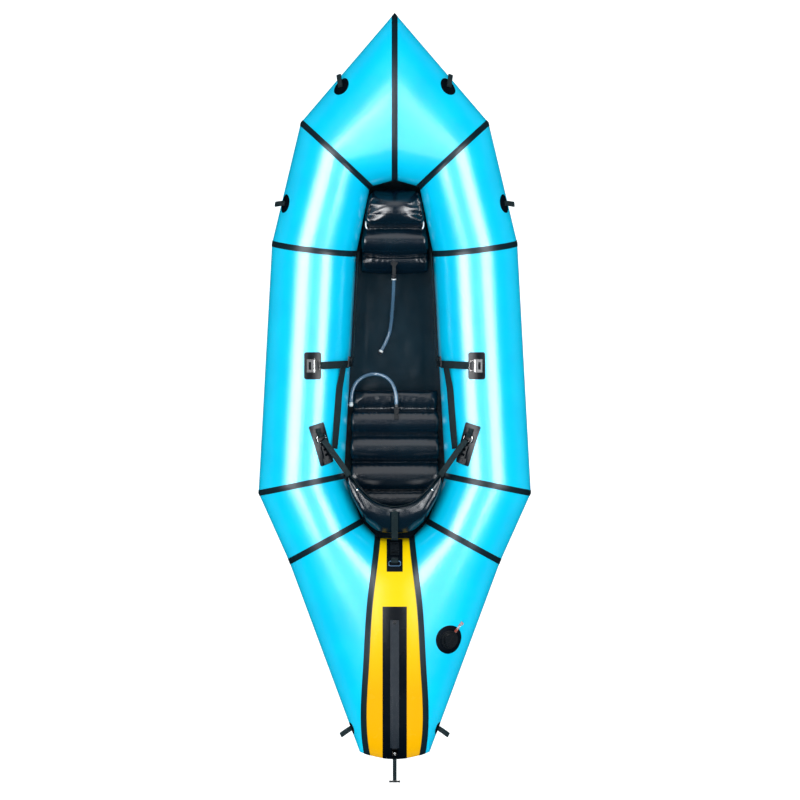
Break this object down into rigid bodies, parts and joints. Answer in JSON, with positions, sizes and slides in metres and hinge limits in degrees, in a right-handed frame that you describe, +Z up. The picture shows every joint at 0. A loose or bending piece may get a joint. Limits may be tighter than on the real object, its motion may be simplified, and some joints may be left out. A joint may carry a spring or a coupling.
{
  "type": "inflatable packraft kayak",
  "caption": "Open inflatable packraft: faceted air tube with raised bow, yellow stern deck with cargo zipper, ribbed seat, backrest, footbrace and thigh straps.",
  "frame": {"origin": "underside of the floor sheet, halfway along the hull tube, on the centre plane", "axes": "+Y towards the bow, +X starboard, +Z up"},
  "size_m": [0.926, 2.608, 0.3677],
  "materials": {
    "hull_cyan": "gloss coated fabric",
    "deck_yellow": "gloss coated fabric",
    "floor_black": "semi-gloss coated fabric",
    "seam_tape": "satin",
    "patch_black": "satin",
    "cushion_black": "semi-gloss coated fabric",
    "hose_clear": "clear, slightly blue",
    "mouthpiece_white": "gloss",
    "webbing_black": "woven",
    "buckle_metal": "brushed",
    "wire_metal": "polished",
    "ring_blue": "satin",
    "zipper_black": "ribbed",
    "tag_clear": "clear",
    "plastic_black": "moulded"
  },
  "bodies": {
    "hull": {"anchor_keepers": "webbing_black", "anchor_patches": "patch_black", "backrest_side_straps": "webbing_black", "bow_panel_left": "hull_cyan", "bow_panel_right": "hull_cyan", "bow_seam_tape": "seam_tape", "buckle_socket": "plastic_black", "deck_buckle_patch": "patch_black", "deck_seam_tapes": "seam_tape", "floor_sheet": "floor_black", "footbrace_cushion": "cushion_black", "footbrace_hose": "hose_clear", "footbrace_stem": "plastic_black", "front_seam_tapes": "seam_tape", "quarter_panel_left": "hull_cyan", "quarter_panel_right": "hull_cyan", "quarter_seam_tapes": "seam_tape", "rear_buckles": "plastic_black", "rear_seam_tapes": "seam_tape", "release_buckle_left": "buckle_metal", "release_buckle_right": "buckle_metal", "release_straps": "webbing_black", "ring_keeper": "webbing_black", "seat_cushion": "cushion_black", "seat_hose": "hose_clear", "seat_stem": "plastic_black", "shoulder_panel_left": "hull_cyan", "shoulder_panel_right": "hull_cyan", "shoulder_seam_tapes": "seam_tape", "side_panel_left": "hull_cyan", "side_panel_right": "hull_cyan", "stern_deck_panel": "deck_yellow", "stern_panel_left": "hull_cyan", "stern_panel_right": "hull_cyan", "thigh_adjusters": "plastic_black", "thigh_patches": "patch_black", "thigh_straps": "webbing_black", "thigh_webbing": "webbing_black", "tie_down_loops": "webbing_black", "tie_down_patches": "patch_black", "valve_body": "plastic_black", "valve_insert": "plastic_black", "valve_patch": "patch_black", "valve_tag": "tag_clear", "zipper_patch": "patch_black", "zipper_track": "zipper_black"},
    "zipper_slider": {"zipper_slider": "wire_metal"},
    "zipper_pull": {"zipper_pull": "webbing_black"},
    "valve_cap": {"valve_cap": "plastic_black"},
    "buckle_plug": {"buckle_plug": "plastic_black"},
    "release_lever_left": {"release_lever_left": "wire_metal"},
    "release_lever_right": {"release_lever_right": "wire_metal"},
    "anchor_ring_left": {"anchor_ring_left": "wire_metal"},
    "anchor_ring_right": {"anchor_ring_right": "wire_metal"},
    "deck_ring": {"deck_ring": "ring_blue"},
    "seat_mouthpiece": {"seat_mouthpiece": "mouthpiece_white"},
    "footbrace_mouthpiece": {"footbrace_mouthpiece": "mouthpiece_white"},
    "backrest": {"backrest_cushion": "cushion_black", "backrest_band": "webbing_black", "backrest_strap": "webbing_black"}
  },
  "joints": [
    {"name": "zipper_slide", "type": "hinge", "parent": "hull", "child": "zipper_slider", "pos_m": [0, -1.0264, -0.0464], "axis": [-1, 0, 0], "range_deg": [0, 33]},
    {"name": "zipper_pull_swing", "type": "hinge", "parent": "zipper_slider", "child": "zipper_pull", "pos_m": [0, -1.24929, 0.23832], "axis": [-1, 0, 0], "range_deg": [0, 100]},
    {"name": "valve_cap_hinge", "type": "hinge", "parent": "hull", "child": "valve_cap", "pos_m": [0.17455, -0.87855, 0.29072], "axis": [0.665, -0.5727, -0.4794], "range_deg": [0, 100]},
    {"name": "buckle_release", "type": "slide", "parent": "hull", "child": "buckle_plug", "axis": [0, 0.6836, -0.7299], "range_m": [0, 0.02]},
    {"name": "release_lever_right_hinge", "type": "hinge", "parent": "hull", "child": "release_lever_right", "pos_m": [0.27196, 0.06795, 0.30078], "axis": [-0.0008, 1, 0.0064], "range_deg": [0, 80]},
    {"name": "release_lever_left_hinge", "type": "hinge", "parent": "hull", "child": "release_lever_left", "pos_m": [-0.27196, 0.06795, 0.30078], "axis": [-0.0008, -1, -0.0064], "range_deg": [0, 80]},
    {"name": "anchor_ring_right_hinge", "type": "hinge", "parent": "hull", "child": "anchor_ring_right", "pos_m": [0.25124, -0.16722, 0.28917], "axis": [-0.8507, 0.3096, -0.4248], "range_deg": [0, 90]},
    {"name": "anchor_ring_left_hinge", "type": "hinge", "parent": "hull", "child": "anchor_ring_left", "pos_m": [-0.25124, -0.16722, 0.28917], "axis": [-0.8507, -0.3096, 0.4248], "range_deg": [0, 90]},
    {"name": "deck_ring_hinge", "type": "hinge", "parent": "hull", "child": "deck_ring", "pos_m": [0, -0.59255, 0.28428], "axis": [-1, 0, 0], "range_deg": [0, 120]},
    {"name": "seat_mouthpiece_twist", "type": "hinge", "parent": "hull", "child": "seat_mouthpiece", "pos_m": [-0.148, -0.056, 0.099], "axis": [-0.0237, -0.9972, 0.0712], "range_deg": [0, 90]},
    {"name": "footbrace_mouthpiece_twist", "type": "hinge", "parent": "hull", "child": "footbrace_mouthpiece", "pos_m": [-0.045, 0.122, 0.0105], "axis": [-0.4856, -0.8742, 0], "range_deg": [0, 90]},
    {"name": "backrest_tilt", "type": "hinge", "parent": "hull", "child": "backrest", "pos_m": [0, -0.405, 0.126], "axis": [-1, 0, 0], "range_deg": [0, 20]}
  ]
}
